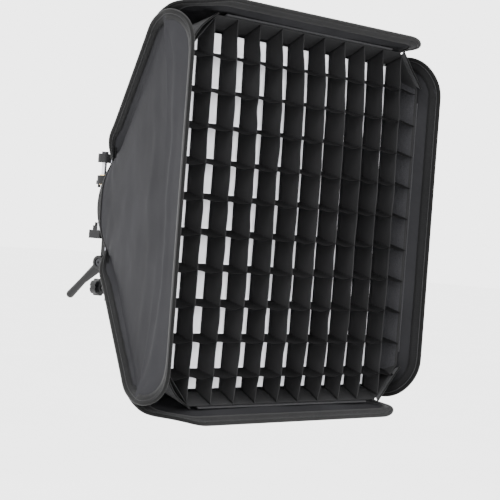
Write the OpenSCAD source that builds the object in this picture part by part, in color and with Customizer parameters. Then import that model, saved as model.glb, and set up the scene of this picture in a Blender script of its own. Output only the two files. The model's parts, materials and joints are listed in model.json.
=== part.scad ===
// Square collapsible softbox on a tilting flash bracket, in millimetres.
// +Z is up and the light leaves along -Y. The origin is the mouth of the stand socket.
// Four fabric panels, each stretched on its own spring-steel hoop, make a pyramid that opens
// towards -Y. Neighbouring panels meet in a seam along each corner, and outside the seam their
// edges stand out together as a fin. All four panels are one shape, turned about the light axis.

/* [Softbox] */
// Half of the front opening, between the hoop wires
front_half = 297; // [290:1:305]
// Depth from the front wires to the rear wires
box_depth = 350; // [340:1:355]
// Fall of a panel's middle towards the light axis, per millimetre of depth
panel_slope = 0.571; // [0.56:0.005:0.58]
// Thickness of the panel cloth
cloth_t = 1.2; // [0.8:0.1:1.4]
// Radius of the hoop wire
wire_r = 1.5; // [1.5:0.1:1.8]

/* [Grid and diffuser] */
// Pitch of the grid cells
cell = 50; // [48:0.5:50]
// Depth of the grid strips
grid_deep = 30; // [28:1:34]
// Thickness of one grid strip
strip_t = 1.0; // [0.6:0.1:1.4]
// Distance from the front wires to the front edge of the grid
grid_d = 28; // [26:1:32]

/* [Bracket] */
// Height of the tilt axis above the stand socket's mouth
tilt_z = 62; // [60:1:64]
// Height of the light axis above the tilt axis
axis_rise = 92; // [90:1:94]
// Radius of the stand socket's bore
socket_r = 8.05; // [8:0.05:8.2]
// Depth of the stand socket's bore
socket_deep = 38; // [32:1:40]
// Radius of the umbrella hole
umbrella_r = 4.1; // [4:0.05:4.3]
// Gap between the flash clamp's pads
clamp_gap = 56; // [50:1:60]

/* [Hidden] */
$fn = 64;
eps = 0.01;
axis_z = tilt_z + axis_rise;      // height of the light axis
rear_y = -48;                     // the hoops' rear edges
front_y = rear_y - box_depth;     // the hoops' front edges
grid_y = front_y + grid_d;        // front edge of the grid
diffuser_y = grid_y + grid_deep + 3;

// The corner seam starts where the hoop passes under its widest point
seam_d = 94;
seam_at = 257;
seam_slope = 0.745;
fin_gap = 6;                      // lifts a fin's wire off the corner's diagonal plane
fin_gap_ends = 2.8;               // and this much more at the fin's two ends
fin_d = 76;                       // depth at which the fin starts
fin_full_d = 130;                 // depth at which the fin has its plain gap
rear_d = 300;                     // depth from which the hoop turns in to its rear edge
seam_clear = 1.5;                 // from the corner's diagonal plane to the cloth at the seam
mouth_d = 150;                    // shallower than this the cloth is open wherever the seam isn't

// The hoop's outline, seen along a panel's own height: a polygon with rounded corners
corner_f = [front_half - 9, 0];
corner_s = [front_half - 31, 100];
corner_r = [88, box_depth];
r_f = 60;
r_s = 130;
r_r = 80;

black = [0.07, 0.07, 0.075];
nylon = [0.17, 0.17, 0.18];
silver = [0.75, 0.76, 0.78];
steel = [0.62, 0.63, 0.65];
white = [0.93, 0.93, 0.95];
plastic = [0.09, 0.09, 0.10];

// ---------- helpers for the curved cloth ----------

function unit(v) = v / norm(v);
function angle_of(v) = atan2(v[1], v[0]);

// Points of the arc of radius r that rounds corner b between the lines a-b and b-c
function round_corner(a, b, c, r, n) =
    let (u = unit(a - b), w = unit(c - b),
         half = acos(u * w) / 2,
         centre = b + unit(u + w) * r / sin(half),
         p = b + u * r / tan(half), q = b + w * r / tan(half),
         a0 = angle_of(p - centre),
         turn = angle_of(q - centre) - a0,
         sweep = turn > 180 ? turn - 360 : (turn < -180 ? turn + 360 : turn))
    [for (i = [0:n]) centre + r * [cos(a0 + sweep * i / n), sin(a0 + sweep * i / n)]];

// Right half of the hoop, from its front corner to its rear corner, as [half width, depth]
half_outline = concat(
    round_corner([0, 0], corner_f, corner_s, r_f, 6),
    round_corner(corner_f, corner_s, corner_r, r_s, 2),
    [for (i = [1:3]) corner_s + (corner_r - corner_s) * (0.1 + 0.68 * i / 4)],
    round_corner(corner_s, corner_r, [0, box_depth], r_r, 5));
outline_n = len(half_outline);

// Height of a panel's middle above the light axis, at depth d
function middle(d) = front_half - panel_slope * d;
// Distance of the corner seam from the light axis, across and up alike
function seam(d) = seam_at - seam_slope * (d - seam_d);
// How far the cloth stands off the corner's diagonal plane along the seam
function rear_part(d) = max(0, d - rear_d) / (box_depth - rear_d);
function front_part(d) = min(1, max(0, fin_full_d - d) / (fin_full_d - fin_d));
function edge_gap(d) = fin_gap + fin_gap_ends * (1.5 * rear_part(d) + front_part(d));
function seam_gap(d) = seam_clear + (edge_gap(d) - seam_clear) * rear_part(d);
// Height of the hoop wire at depth d, where the hoop is w wide
function wire_z(d, w) = d < fin_d
    ? front_half - (front_half - w - fin_gap - fin_gap_ends) * d / fin_d
    : w + edge_gap(d);
// Height of the panel at x across and depth d, where the hoop is w wide
function panel_z(x, d, w) =
    let (s = seam(d), g = seam_gap(d), ax = abs(x), e = wire_z(d, w),
         open = d < mouth_d && s > w - 2)
    open ? middle(d) + (e - middle(d)) * pow(ax / w, 3)
    : ax > s ? s + g + (e - s - g) * (ax - s) / max(w - s, eps)
    : middle(d) + (s + g - middle(d)) * pow(ax / s, 3);

// Columns of a panel: even between the seams, then one out to the wire
cols = 8;
cloth_inset = 4;                  // from the wire to the edge of the cloth
function column(j, s, w) = j == 0 ? -w : (j == cols + 2 ? w : s * (2 * (j - 1) / cols - 1));
function cloth_row(w, d, drop) =
    let (q = cloth_inset + d * (1 - 2 * cloth_inset / box_depth),
         k = w - cloth_inset * 1.1, s = min(seam(q), k * 0.96))
    [for (j = [0:cols + 2])
        let (x = column(j, s, k))
        [x, front_y + q, panel_z(x, q, w) + cloth_t / 2 - drop]];

// A closed sheet between two sets of rows that match point for point
module sheet(outer, inner) {
    n = len(outer);
    m = len(outer[0]);
    points = [for (side = [outer, inner]) for (row = side) for (p = row) p];
    function id(side, i, j) = (side * n + i) * m + j;
    top = [for (i = [0:n - 2]) for (j = [0:m - 2])
        each [[id(0, i, j), id(0, i + 1, j + 1), id(0, i, j + 1)],
              [id(0, i, j), id(0, i + 1, j), id(0, i + 1, j + 1)]]];
    bottom = [for (i = [0:n - 2]) for (j = [0:m - 2])
        each [[id(1, i, j), id(1, i, j + 1), id(1, i + 1, j + 1)],
              [id(1, i, j), id(1, i + 1, j + 1), id(1, i + 1, j)]]];
    rim = concat([for (j = [0:m - 2]) [0, j]], [for (i = [0:n - 2]) [i, m - 1]],
                 [for (j = [m - 1:-1:1]) [n - 1, j]], [for (i = [n - 1:-1:1]) [i, 0]]);
    k = len(rim);
    wall = [for (i = [0:k - 1])
        let (a = rim[i], b = rim[(i + 1) % k])
        each [[id(0, b[0], b[1]), id(1, a[0], a[1]), id(0, a[0], a[1])],
              [id(0, b[0], b[1]), id(1, b[0], b[1]), id(1, a[0], a[1])]]];
    polyhedron(points, concat(top, bottom, wall), convexity = 6);
}

// The whole hoop as a closed loop of points, with the panel's normal at each
rear_half = [for (k = [0.7, 0.35]) [k * half_outline[outline_n - 1][0], box_depth]];
side_half = concat([[110, 0]], half_outline, rear_half);
loop_plan = concat(
    [[0, 0]], side_half, [[0, box_depth]],
    [for (i = [len(side_half) - 1:-1:0]) [-side_half[i][0], side_half[i][1]]]);
loop_n = len(loop_plan);
function hoop_w(d) = lookup(d, [for (p = half_outline) [p[1], p[0]]]);
function on_wire(p) = [p[0], front_y + p[1], p[1] < 1 ? front_half : panel_z(p[0], p[1], abs(p[0]))];
function wire_point(i) = on_wire(loop_plan[(i + loop_n) % loop_n]);
function wire_tangent(i) = unit(wire_point(i + 1) - wire_point(i - 1));
// Unit vector square to the cloth just inside the wire, on the panel's outer side
function cloth_up(k) =
    let (i = (k + loop_n) % loop_n, p = loop_plan[i],
         q = loop_plan[(i + 1) % loop_n] - loop_plan[(i + loop_n - 1) % loop_n],
         b = p - 8 * unit([-q[1], q[0]]) * (cross(q, p - [0, 150]) > 0 ? -1 : 1),
         inner = [b[0], front_y + b[1], panel_z(b[0], b[1], hoop_w(b[1]))],
         u = unit(cross(wire_point(i) - inner, wire_tangent(i))))
    u * (u[2] > 0 ? 1 : -1);
raw_up = [for (i = [0:loop_n - 1]) cloth_up(i)];
function smoothed(v, times) = times == 0 ? v : smoothed([for (i = [0:loop_n - 1]) unit(
    [1, 2, 1] * [for (k = [-1:1]) v[(i + k + loop_n) % loop_n]])], times - 1);
smooth_up = smoothed(raw_up, 5);
// Unit vector in the cloth, square to the wire and pointing out of the panel
function wire_out(i) = unit(cross(smooth_up[i], wire_tangent(i)));

rear_shortening = 0.42;
far_leg = 5;
// Sweeps a small closed profile, given as [out, across] pairs, round the hoop. What reaches far
// into the cloth is shorter at the rear, where the hoop turns sharply.
module sweep_hoop(profile) {
    m = len(profile);
    points = [for (i = [0:loop_n - 1])
        let (p = wire_point(i), o = wire_out(i), u = unit(cross(wire_tangent(i), o)),
             short = 1 - rear_shortening * rear_part(loop_plan[i][1]))
        for (q = profile) p + o * q[0] * (q[0] < -far_leg ? short : 1) + u * q[1]];
    faces = [for (i = [0:loop_n - 1]) for (j = [0:m - 1])
        let (a = i * m + j, b = i * m + (j + 1) % m,
             c = ((i + 1) % loop_n) * m + (j + 1) % m, d = ((i + 1) % loop_n) * m + j)
        each [[a, c, b], [a, d, c]]];
    polyhedron(points, faces, convexity = 8);
}

// Turns a top-side piece onto side k: 0 top, 1 right, 2 bottom, 3 left
module on_side(k) translate([0, 0, axis_z]) rotate([0, 90 * k, 0]) children();
// Stands a shape that is drawn about Z on the light axis, its base at y0, growing towards +Y
module about_axis(y0) translate([0, y0, axis_z]) rotate([-90, 0, 0]) children();
// The same for a cylinder along +X from x0, or along +Y from y0
module along_x(x0, y, z) translate([x0, y, z]) rotate([0, 90, 0]) children();
module along_y(x, y0, z) translate([x, y0, z]) rotate([-90, 0, 0]) children();
// A flat ring
module washer(r_out, r_in, h) difference() {
    cylinder(r = r_out, h = h);
    translate([0, 0, -1]) cylinder(r = r_in, h = h + 2);
}
// A sector of a ring, centred on angle a
module sector(r_out, r_in, h, a, width) rotate([0, 0, a - width / 2])
    rotate_extrude(angle = width) translate([r_in, 0]) square([r_out - r_in, h]);
// A knob with rounded lobes, drawn about Z
module lobed_knob(r, h, lobes) difference() {
    cylinder(r = r, h = h);
    for (i = [0:lobes - 1]) rotate([0, 0, 360 * i / lobes])
        translate([r * 1.12, 0, -1]) cylinder(r = r * 0.24, h = h + 2, $fn = 32);
}

// ---------- softbox cloth and hoops ----------

module panel() color(nylon) sheet(
    [for (p = half_outline) cloth_row(p[0], p[1], 0)],
    [for (p = half_outline) cloth_row(p[0], p[1], cloth_t)]);

// The silver lining covers the inside of a panel behind the diffuser, between the seams
lining_t = 0.6;
lining_n = 6;
lining_front = 78;                // from here back the panel is one curve between its seams
lining_back = box_depth - 14;
lining_gap = 2.2;                 // clear of the panel's inner face
lining_reach = 20;                // its curve is the panel's, drawn this much past its edge
function lining_w(d) = seam(d) - 6;
function lining_row(d, drop) = [for (j = [0:cols])
    let (w = lining_w(d), x = w * (2 * j / cols - 1))
    [x, front_y + d, panel_z(x, d, lining_w(d) + lining_reach) - drop]];
function lining_at(i) = lining_front + (lining_back - lining_front) * i / lining_n;
module lining() color(silver) {
    gap = cloth_t / 2 + lining_gap;
    sheet([for (i = [0:lining_n]) lining_row(lining_at(i), gap)],
          [for (i = [0:lining_n]) lining_row(lining_at(i), gap + lining_t)]);
}

module hoop() color(steel)
    sweep_hoop([for (i = [0:5]) wire_r * [cos(60 * i), sin(60 * i)]]);

// Edge tape folded over the wire and the edge of the cloth
tape_leg = 9;
tape_half = 3;
tape_t = 0.8;
module binding() color(black)
    sweep_hoop([[-tape_leg, tape_half - tape_t], [tape_half - tape_t, tape_half - tape_t],
                [tape_half - tape_t, tape_t - tape_half], [-tape_leg, tape_t - tape_half],
                [-tape_leg, -tape_half], [tape_half, -tape_half], [tape_half, tape_half],
                [-tape_leg, tape_half]]);

// Cloth triangles that close the corners between the panels' rounded fronts
gusset_d = 23;
gusset_across = 224;
gusset_up = 278;
gusset_rear = [250, 70];
module corner_gussets() color(nylon)
    for (k = [0:3]) on_side(k) {
        t = 1;
        rim = [[gusset_across, front_y + gusset_d, gusset_up],
               [gusset_up, front_y + gusset_d, gusset_across],
               [gusset_rear[0], front_y + gusset_rear[1], gusset_rear[0]]];
        polyhedron(concat(rim, [for (p = rim) p - [t, 0, t]]),
                   [[0, 2, 1], [5, 3, 4], [0, 4, 3], [0, 1, 4], [1, 5, 4], [1, 2, 5],
                    [2, 3, 5], [2, 0, 3]]);
    }

// Fastening strips sewn inside each panel, which the grid's border grips
strip_w = 24;
strip_len = 400;
module hook_strips() color([0.25, 0.25, 0.26])
    for (k = [0:3]) on_side(k)
        translate([-strip_len / 2, grid_y, middle(grid_d) - cloth_t - 1.7])
            rotate([-atan(panel_slope), 0, 0]) cube([strip_len, strip_w, 1.2]);

// ---------- rear ring ----------

throat_r = 62;
flange_r = 90;
flange_y = rear_y + 0.2;
ring_y = -44;                     // front face of the bracket's ring
bolt_circle = 80;
screw_n = 6;

module ring_places() for (i = [0:screw_n - 1]) rotate([0, 0, 30 + 360 * i / screw_n])
    translate([bolt_circle, 0, 0]) children();

module rear_collar() color(nylon) about_axis(rear_y) difference() {
    rotate_extrude($fn = 96) polygon([[throat_r + 4, 0], [91.4, 0], [95.4, -9], [94.4, -9],
                                      [90.6, -1.2], [throat_r + 4, -1.2]]);
    ring_places() translate([0, 0, -3]) cylinder(r = 2.3, h = 4, $fn = 32);
}

lug_r = 77.2;
tube_r = 72.8;
lock_angle = -15;                 // the pin is on the right, a little above the light axis
lock_r = 83;
module speed_ring() color(steel) about_axis(flange_y) {
    flange_t = ring_y - 0.2 - flange_y;
    difference() {
        union() {
            washer(flange_r, throat_r, flange_t);
            washer(tube_r, throat_r, 13.4);
            for (i = [0:2]) translate([0, 0, 8.3]) sector(lug_r, tube_r - 1, 4.2, 90 + 120 * i, 28);
        }
        ring_places() translate([0, 0, -eps]) cylinder(r = 2, h = flange_t - 1, $fn = 32);
        rotate([0, 0, lock_angle]) translate([lock_r, 0, -1]) cylinder(r = 2.7, h = flange_t + 2);
    }
}

plate_t = 3.6;
module ring_clamp_plate() color(black) about_axis(rear_y - 1.4 - plate_t) difference() {
    washer(86, throat_r + 1, plate_t);
    ring_places() translate([0, 0, -1]) cylinder(r = 2.1, h = plate_t + 2, $fn = 32);
}

module ring_screws() color(steel) about_axis(rear_y - 1.4 - plate_t - 2.4)
    ring_places() {
        difference() {
            cylinder(r = 3.6, h = 2.35, $fn = 32);
            translate([0, 0, -1]) cylinder(r = 1.5, h = 2.2, $fn = 6);
        }
        translate([0, 0, 2.3]) cylinder(r = 1.95, h = plate_t + 1.4 + 2.2, $fn = 32);
    }

// ---------- diffuser and grid ----------

function inside_half(y) = middle(y - front_y) - cloth_t - 2.6;
diffuser_half = inside_half(diffuser_y) - 4;
hem_w = 12;

// The diffuser's square, its corners cut to pass the gussets, inset all round
module diffuser_outline(inset) intersection() {
    square(2 * (diffuser_half - inset), center = true);
    rotate(45) square(sqrt(2) * corner_sum[1] - 2 * inset, center = true);
}
module front_diffuser() color(white)
    translate([0, diffuser_y + 0.9, axis_z]) rotate([90, 0, 0])
        linear_extrude(0.8) diffuser_outline(1);

module diffuser_hem() color([0.85, 0.85, 0.87])
    translate([0, diffuser_y, axis_z]) rotate([90, 0, 0])
        linear_extrude(1.2) difference() {
            diffuser_outline(0);
            diffuser_outline(hem_w);
        }

strips = 10;
border_t = 1.2;
grid_front = inside_half(grid_y) - 1.5;
grid_back = inside_half(grid_y + grid_deep) - 1.5;
slot_w = strip_t + 0.6;
function strip_at(i) = cell * (i - (strips - 1) / 2);
// Across plus up at the grid's cut corners, at its front and its back
corner_sum = [gusset_across + gusset_up - 5, 2 * gusset_rear[0] - 5];

// One strip seen from its side: depth along x, length along y, with slots in its front or rear half
module strip_outline(place, front_slots) difference() {
    end_gap = border_t + 0.6;
    front = min(grid_front - end_gap, corner_sum[0] - 2.6 - strip_t / 2 - abs(place));
    back = grid_back - end_gap;
    polygon([[0, front], [grid_deep, back], [grid_deep, -back], [0, -front]]);
    for (i = [0:strips - 1])
        translate([front_slots ? -1 : grid_deep / 2, strip_at(i) - slot_w / 2])
            square([grid_deep / 2 + 1, slot_w]);
}
module grid_verticals() color(black)
    for (i = [0:strips - 1])
        translate([strip_at(i) - strip_t / 2, grid_y, axis_z])
            rotate([90, 0, 90]) linear_extrude(strip_t) strip_outline(strip_at(i), true);
module grid_horizontals() color(black)
    for (i = [0:strips - 1])
        translate([0, grid_y, axis_z + strip_at(i) - strip_t / 2])
            rotate([0, 0, 90]) mirror([0, 1, 0]) linear_extrude(strip_t) strip_outline(strip_at(i), false);
// The grid's outline at its front (d = 0) or back (d = 1), shrunk by k
function grid_ring(d, k) = let (h = d == 0 ? grid_front : grid_back, c = corner_sum[d] - h)
    [for (q = [[c, h], [h, c], [h, -c], [c, -h], [-c, -h], [-h, -c], [-h, c], [-c, h]])
        [q[0] * k, d * grid_deep, q[1] * k]];
module grid_border() color(black) translate([0, grid_y, axis_z]) {
    k = 1 - border_t / grid_front;
    polyhedron(
        concat(grid_ring(0, 1), grid_ring(1, 1), grid_ring(1, k), grid_ring(0, k)),
        [for (i = [0:7]) for (j = [0:3])
            let (a = j * 8, b = (j + 1) % 4 * 8, n = (i + 1) % 8) [a + i, b + i, b + n, a + n]],
        convexity = 4);
}

// ---------- bracket: ring, lock and clamp ----------

mount_r = 84;
mount_t = 18;
lock_boss_r = 9;
module lock_place() rotate([0, 0, lock_angle]) translate([lock_r, 0, 0]) children();
module mount_ring() color(plastic) about_axis(ring_y) difference() {
    union() {
        washer(mount_r, throat_r, mount_t);
        lock_place() cylinder(r = lock_boss_r, h = mount_t);
    }
    translate([0, 0, -1]) cylinder(r = tube_r + 0.4, h = 11);
    translate([0, 0, 4]) cylinder(r = lug_r + 0.6, h = 6);
    for (i = [0:2]) translate([0, 0, -1]) sector(lug_r + 0.4, tube_r - 1, 6, 30 + 120 * i, 34);
    lock_place() {
        translate([0, 0, -1]) cylinder(r = 2.6, h = mount_t + 2);
        translate([0, 0, 3]) cylinder(r = 4.5, h = mount_t);
    }
    for (s = [-1, 1]) translate([s * bolt_x, bolt_drop, 9]) cylinder(r = 2.55, h = 12);
}
bolt_x = 28.5;
bolt_drop = sqrt(74 * 74 - bolt_x * bolt_x);
bolt_z = axis_z - bolt_drop;
fork_y = ring_y + mount_t + 0.2;  // front face of the fork's plate
fork_plate = 4.4;

module ring_bolts() color(steel) for (s = [-1, 1]) along_y(s * bolt_x, fork_y + fork_plate + 0.1, bolt_z) {
    difference() {
        cylinder(r = 4.2, h = 4.5);
        translate([0, 0, 2]) cylinder(r = 2.2, h = 4, $fn = 6);
    }
    translate([0, 0, -11]) cylinder(r = 2.5, h = 11.1);
}
module lock_cap() color(steel) about_axis(ring_y + mount_t - 2.2) lock_place() washer(4.45, 2.7, 2.2);
// A helix of round wire about Z, as one closed tube
module coil(r, wire, h, turns) {
    steps = 12 * turns;
    sides = 5;
    points = [for (i = [0:steps]) for (j = [0:sides - 1])
        let (a = 30 * i, b = 360 * j / sides, q = r + wire * cos(b))
        [q * cos(a), q * sin(a), wire + (h - 2 * wire) * i / steps + wire * sin(b)]];
    polyhedron(points, concat(
        [for (i = [0:steps - 1]) for (j = [0:sides - 1])
            let (a = i * sides + j, b = i * sides + (j + 1) % sides)
            each [[a, b, b + sides], [a, b + sides, a + sides]]],
        [[for (j = [sides - 1:-1:0]) j], [for (j = [0:sides - 1]) steps * sides + j]]));
}
module lock_spring() color(steel) about_axis(ring_y + 5.6) lock_place() coil(3.55, 0.5, 10, 5);
module lock_pin() color(steel) about_axis(ring_y - 2.4) lock_place() {
    cylinder(r = 2.5, h = 32);
    translate([0, 0, 5.6]) cylinder(r = 4.2, h = 2);
}
module lock_knob() color(plastic) about_axis(ring_y + mount_t + 1) lock_place() difference() {
    union() {
        cylinder(r = 5, h = 5);
        translate([0, 0, 4]) cylinder(r = 8, h = 8);
    }
    translate([0, 0, -1]) cylinder(r = 2.52, h = 11.7);
    for (i = [0:11]) rotate([0, 0, 30 * i]) translate([8.3, 0, 3]) cylinder(r = 0.9, h = 10, $fn = 16);
}

tongue_half = 7.5;
washer_t = 1.2;
ear_in = 8.9;
ear_out = 24;
ear_r = 21;
bolt_r = 4;
block_half = 22;
block_z = [tilt_z + 24, tilt_z + 38];
module tilt_fork() color(plastic) difference() {
    union() {
        for (s = [-1, 1]) {
            x0 = s > 0 ? ear_in : -ear_out;
            along_x(x0, 0, tilt_z) cylinder(r = ear_r, h = ear_out - ear_in);
            translate([x0, -ear_r, tilt_z]) cube([ear_out - ear_in, 2 * ear_r - 3, block_z[0] - tilt_z + 1]);
        }
        translate([-block_half, fork_y, block_z[0]])
            cube([2 * block_half, 20 - fork_y, block_z[1] - block_z[0]]);
        translate([-34, fork_y, 72]) cube([68, fork_plate, block_z[1] - 72]);
    }
    along_x(-ear_out - 1, 0, tilt_z) cylinder(r = bolt_r + 0.1, h = 2 * ear_out + 2);
    along_x(ear_out - 7, 0, tilt_z) cylinder(r = 7.6, h = 8, $fn = 6);
    along_y(0, fork_y - 1, umbrella_z) cylinder(r = umbrella_r, h = 60);
    along_x(2, 5, umbrella_z) cylinder(r = 2.6, h = 30);
    for (s = [-1, 1]) along_y(s * bolt_x, fork_y - 1, bolt_z) cylinder(r = 2.6, h = 8);
    for (s = [-1, 1]) translate([s * 14, -10, block_z[0] + 4]) cylinder(r = 2.42, h = 20);
}
umbrella_z = tilt_z + 31;

rod_x = 48;
base_z = block_z[1] + 0.1;
tray_half = [42, 22];
pad_z = axis_z - clamp_gap / 2;   // top of the lower pad
pad_t = 5;
tray_z = pad_z - pad_t - 0.1;
module clamp_base() color(plastic) difference() {
    union() {
        translate([-60, -12, base_z]) cube([120, 24, 13.5]);
        translate([-tray_half[0], -tray_half[1], tray_z - 8]) cube([2 * tray_half[0], 2 * tray_half[1], 8]);
    }
    for (s = [-1, 1]) {
        translate([s * rod_x, 0, base_z + 2]) cylinder(r = 4.02, h = 20);
        translate([s * 14, -10, base_z - 1]) cylinder(r = 2.6, h = 40);
        translate([s * 14, -10, tray_z - 5]) cylinder(r = 4.6, h = 10);
    }
}
module base_screws() color(steel) for (s = [-1, 1]) translate([s * 14, -10, tray_z - 4.9]) {
    difference() {
        cylinder(r = 4.4, h = 4);
        translate([0, 0, 2]) cylinder(r = 2, h = 4, $fn = 6);
    }
    translate([0, 0, block_z[0] + 6 - tray_z + 4.9]) cylinder(r = 2.4, h = tray_z - 4.8 - block_z[0] - 6);
}
bridge_z = 222;
bridge_t = 14;
module guide_rods() color(steel) for (s = [-1, 1]) translate([s * rod_x, 0, base_z + 2.1]) difference() {
    cylinder(r = 4, h = bridge_z + bridge_t - base_z - 2.1);
    translate([0, 0, bridge_z + bridge_t - base_z - 2.1 - 12]) cylinder(r = 2.45, h = 20);
}
// A soft pad with ridges across it; side is 1 for ridges on top and -1 for ridges below
module ridged_pad(z0, side) difference() {
    translate([-tray_half[0] + 2, -tray_half[1] + 2, z0])
        cube([2 * tray_half[0] - 4, 2 * tray_half[1] - 4, pad_t]);
    for (i = [-9:9]) translate([i * 4, 0, z0 + (side > 0 ? pad_t : 0)]) rotate([0, 45, 0])
        cube([1.6, 60, 1.6], center = true);
}
module lower_pad() color(black) ridged_pad(tray_z + 0.05, 1);
module top_bridge() color(plastic) difference() {
    union() {
        translate([-rod_x, -11, bridge_z]) cube([2 * rod_x, 22, bridge_t]);
        for (s = [-1, 1]) translate([s * rod_x, 0, bridge_z]) cylinder(r = 11, h = bridge_t);
    }
    for (s = [-1, 1]) translate([s * rod_x, 0, bridge_z - 1]) cylinder(r = 4.02, h = bridge_t + 2);
    translate([0, 0, bridge_z - 1]) cylinder(r = 8.02, h = bridge_t + 2);
}
module bridge_screws() color(steel) for (s = [-1, 1]) translate([s * rod_x, 0, bridge_z + bridge_t + 0.05]) {
    difference() {
        cylinder(r = 5.5, h = 3.5);
        translate([0, 0, 1.5]) cylinder(r = 2, h = 4, $fn = 6);
    }
    translate([0, 0, -9]) cylinder(r = 2.4, h = 9.1);
}
module screw_nut() color([0.72, 0.58, 0.3]) translate([0, 0, bridge_z - 1]) washer(8, 4.05, bridge_t + 2);

upper_z = pad_z + clamp_gap;      // bottom of the upper pad
jaw_z = upper_z + pad_t + 0.1;
jaw_t = 14;
boss_t = 20;
module upper_jaw() color(plastic) difference() {
    union() {
        translate([-tray_half[0], -tray_half[1], jaw_z]) cube([2 * tray_half[0], 2 * tray_half[1], 6]);
        translate([-rod_x, -10, jaw_z]) cube([2 * rod_x, 20, jaw_t]);
        for (s = [-1, 1]) translate([s * rod_x, 0, jaw_z]) cylinder(r = 10, h = jaw_t);
        translate([0, 0, jaw_z]) cylinder(r = 10, h = boss_t);
    }
    for (s = [-1, 1]) translate([s * rod_x, 0, jaw_z - 1]) cylinder(r = 6.55, h = jaw_t + 2);
    translate([0, 0, jaw_z + 8]) cylinder(r = 6.3, h = 4);
    translate([0, 0, jaw_z + 8]) cylinder(r = 4.3, h = 20);
}
module upper_pad() color(black) ridged_pad(upper_z + 0.05, -1);
module jaw_bushes() color([0.72, 0.58, 0.3]) for (s = [-1, 1])
    translate([s * rod_x, 0, jaw_z - 0.5]) washer(6.5, 4.05, jaw_t + 2);
knob_z = 264;
module clamp_screw() color(steel) translate([0, 0, jaw_z + 8.3]) {
    cylinder(r = 6, h = 3.2);
    cylinder(r = 3.97, h = knob_z + 14 - jaw_z - 8.3);
}
module clamp_knob() color(plastic) translate([0, 0, knob_z]) difference() {
    union() {
        lobed_knob(17, 16, 7);
        translate([0, 0, 15]) cylinder(r1 = 13, r2 = 10, h = 4);
        translate([0, 0, -4]) cylinder(r = 9, h = 5);
    }
    translate([0, 0, -5]) cylinder(r = 4, h = 19.2);
}

// ---------- bracket: stand socket, tilt joint and lever ----------

body_r = 17;
body_h = 40.5;
screw_z = 20;
module stand_socket() color(plastic) difference() {
    union() {
        cylinder(r = body_r, h = body_h);
        cylinder(r = body_r + 1.5, h = 6);
        along_x(-tongue_half, 0, tilt_z) cylinder(r = 20, h = 2 * tongue_half);
        translate([-tongue_half, -body_r + 2, body_h - 1])
            cube([2 * tongue_half, 2 * body_r - 4, tilt_z - body_h]);
        along_y(0, 10, screw_z) cylinder(r = 9, h = 14);
    }
    translate([0, 0, -1]) cylinder(r = socket_r + 2.05, h = socket_deep + 1.1);
    along_x(-20, 0, tilt_z) cylinder(r = bolt_r + 0.1, h = 40);
    along_y(0, 5, screw_z) cylinder(r = 4.05, h = 25);
    along_y(0, 5, screw_z) cylinder(r = 5, h = 7.5);
}
module socket_bush() color(steel) difference() {
    washer(socket_r + 2, socket_r, socket_deep);
    along_y(0, 5, screw_z) cylinder(r = 5, h = 10);
}
module friction_washers() color([0.35, 0.2, 0.15]) for (s = [-1, 1])
    along_x(s > 0 ? tongue_half + 0.1 : -tongue_half - 0.1 - washer_t, 0, tilt_z)
        washer(18, bolt_r + 0.2, washer_t);
module pivot_bolt() color(steel) {
    along_x(-35, 0, tilt_z) cylinder(r = bolt_r, h = 35 + ear_out - 6.5);
    along_x(ear_out - 6.8, 0, tilt_z) cylinder(r = 7.4, h = 6.3, $fn = 6);
}

lever_angle = 45;                 // below level, towards +Y
insert_r = 8.4;
module lever_insert() color(steel) difference() {
    union() {
        along_x(-36, 0, tilt_z) cylinder(r = insert_r, h = 36 - ear_out - 0.4, $fn = 12);
        along_x(-43, 0, tilt_z) cylinder(r = 4.4, h = 7.1);
    }
    along_x(-35.5, 0, tilt_z) cylinder(r = bolt_r + 0.05, h = 20);
    along_x(-44, 0, tilt_z) cylinder(r = 2.55, h = 6.5);
}
lever_len = 78;
module lever_handle() color(plastic) difference() {
    union() {
        along_x(-47.5, 0, tilt_z) cylinder(r1 = 11, r2 = 13, h = 20.5);
        translate([0, 0, tilt_z]) rotate([-lever_angle, 0, 0]) {
            hull() {
                translate([-37, 6, 0]) sphere(r = 9, $fn = 28);
                translate([-46, 44, 0]) sphere(r = 5.6, $fn = 28);
            }
            hull() {
                translate([-46, 44, 0]) sphere(r = 5.6, $fn = 28);
                translate([-49, lever_len, 0]) sphere(r = 6.4, $fn = 28);
            }
        }
    }
    along_x(-36.3, 0, tilt_z) cylinder(r = insert_r + 0.2, h = 14, $fn = 12);
    along_x(-60, 0, tilt_z) cylinder(r = 4.6, h = 30);
    along_x(-60, 0, tilt_z) cylinder(r = 6.7, h = 20.7);
    along_x(-27.2, 0, tilt_z) cylinder(r = 15, h = 10);
}
module lever_spring() color(steel) along_x(-42.9, 0, tilt_z) coil(5.3, 0.4, 3.5, 3);
module lever_screw() color(steel) difference() {
    union() {
        along_x(-46, 0, tilt_z) cylinder(r = 6, h = 2.9);
        along_x(-43.5, 0, tilt_z) cylinder(r = 2.5, h = 5.5);
    }
    along_x(-47, 0, tilt_z) cylinder(r = 2.2, h = 2.6, $fn = 6);
}

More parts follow.
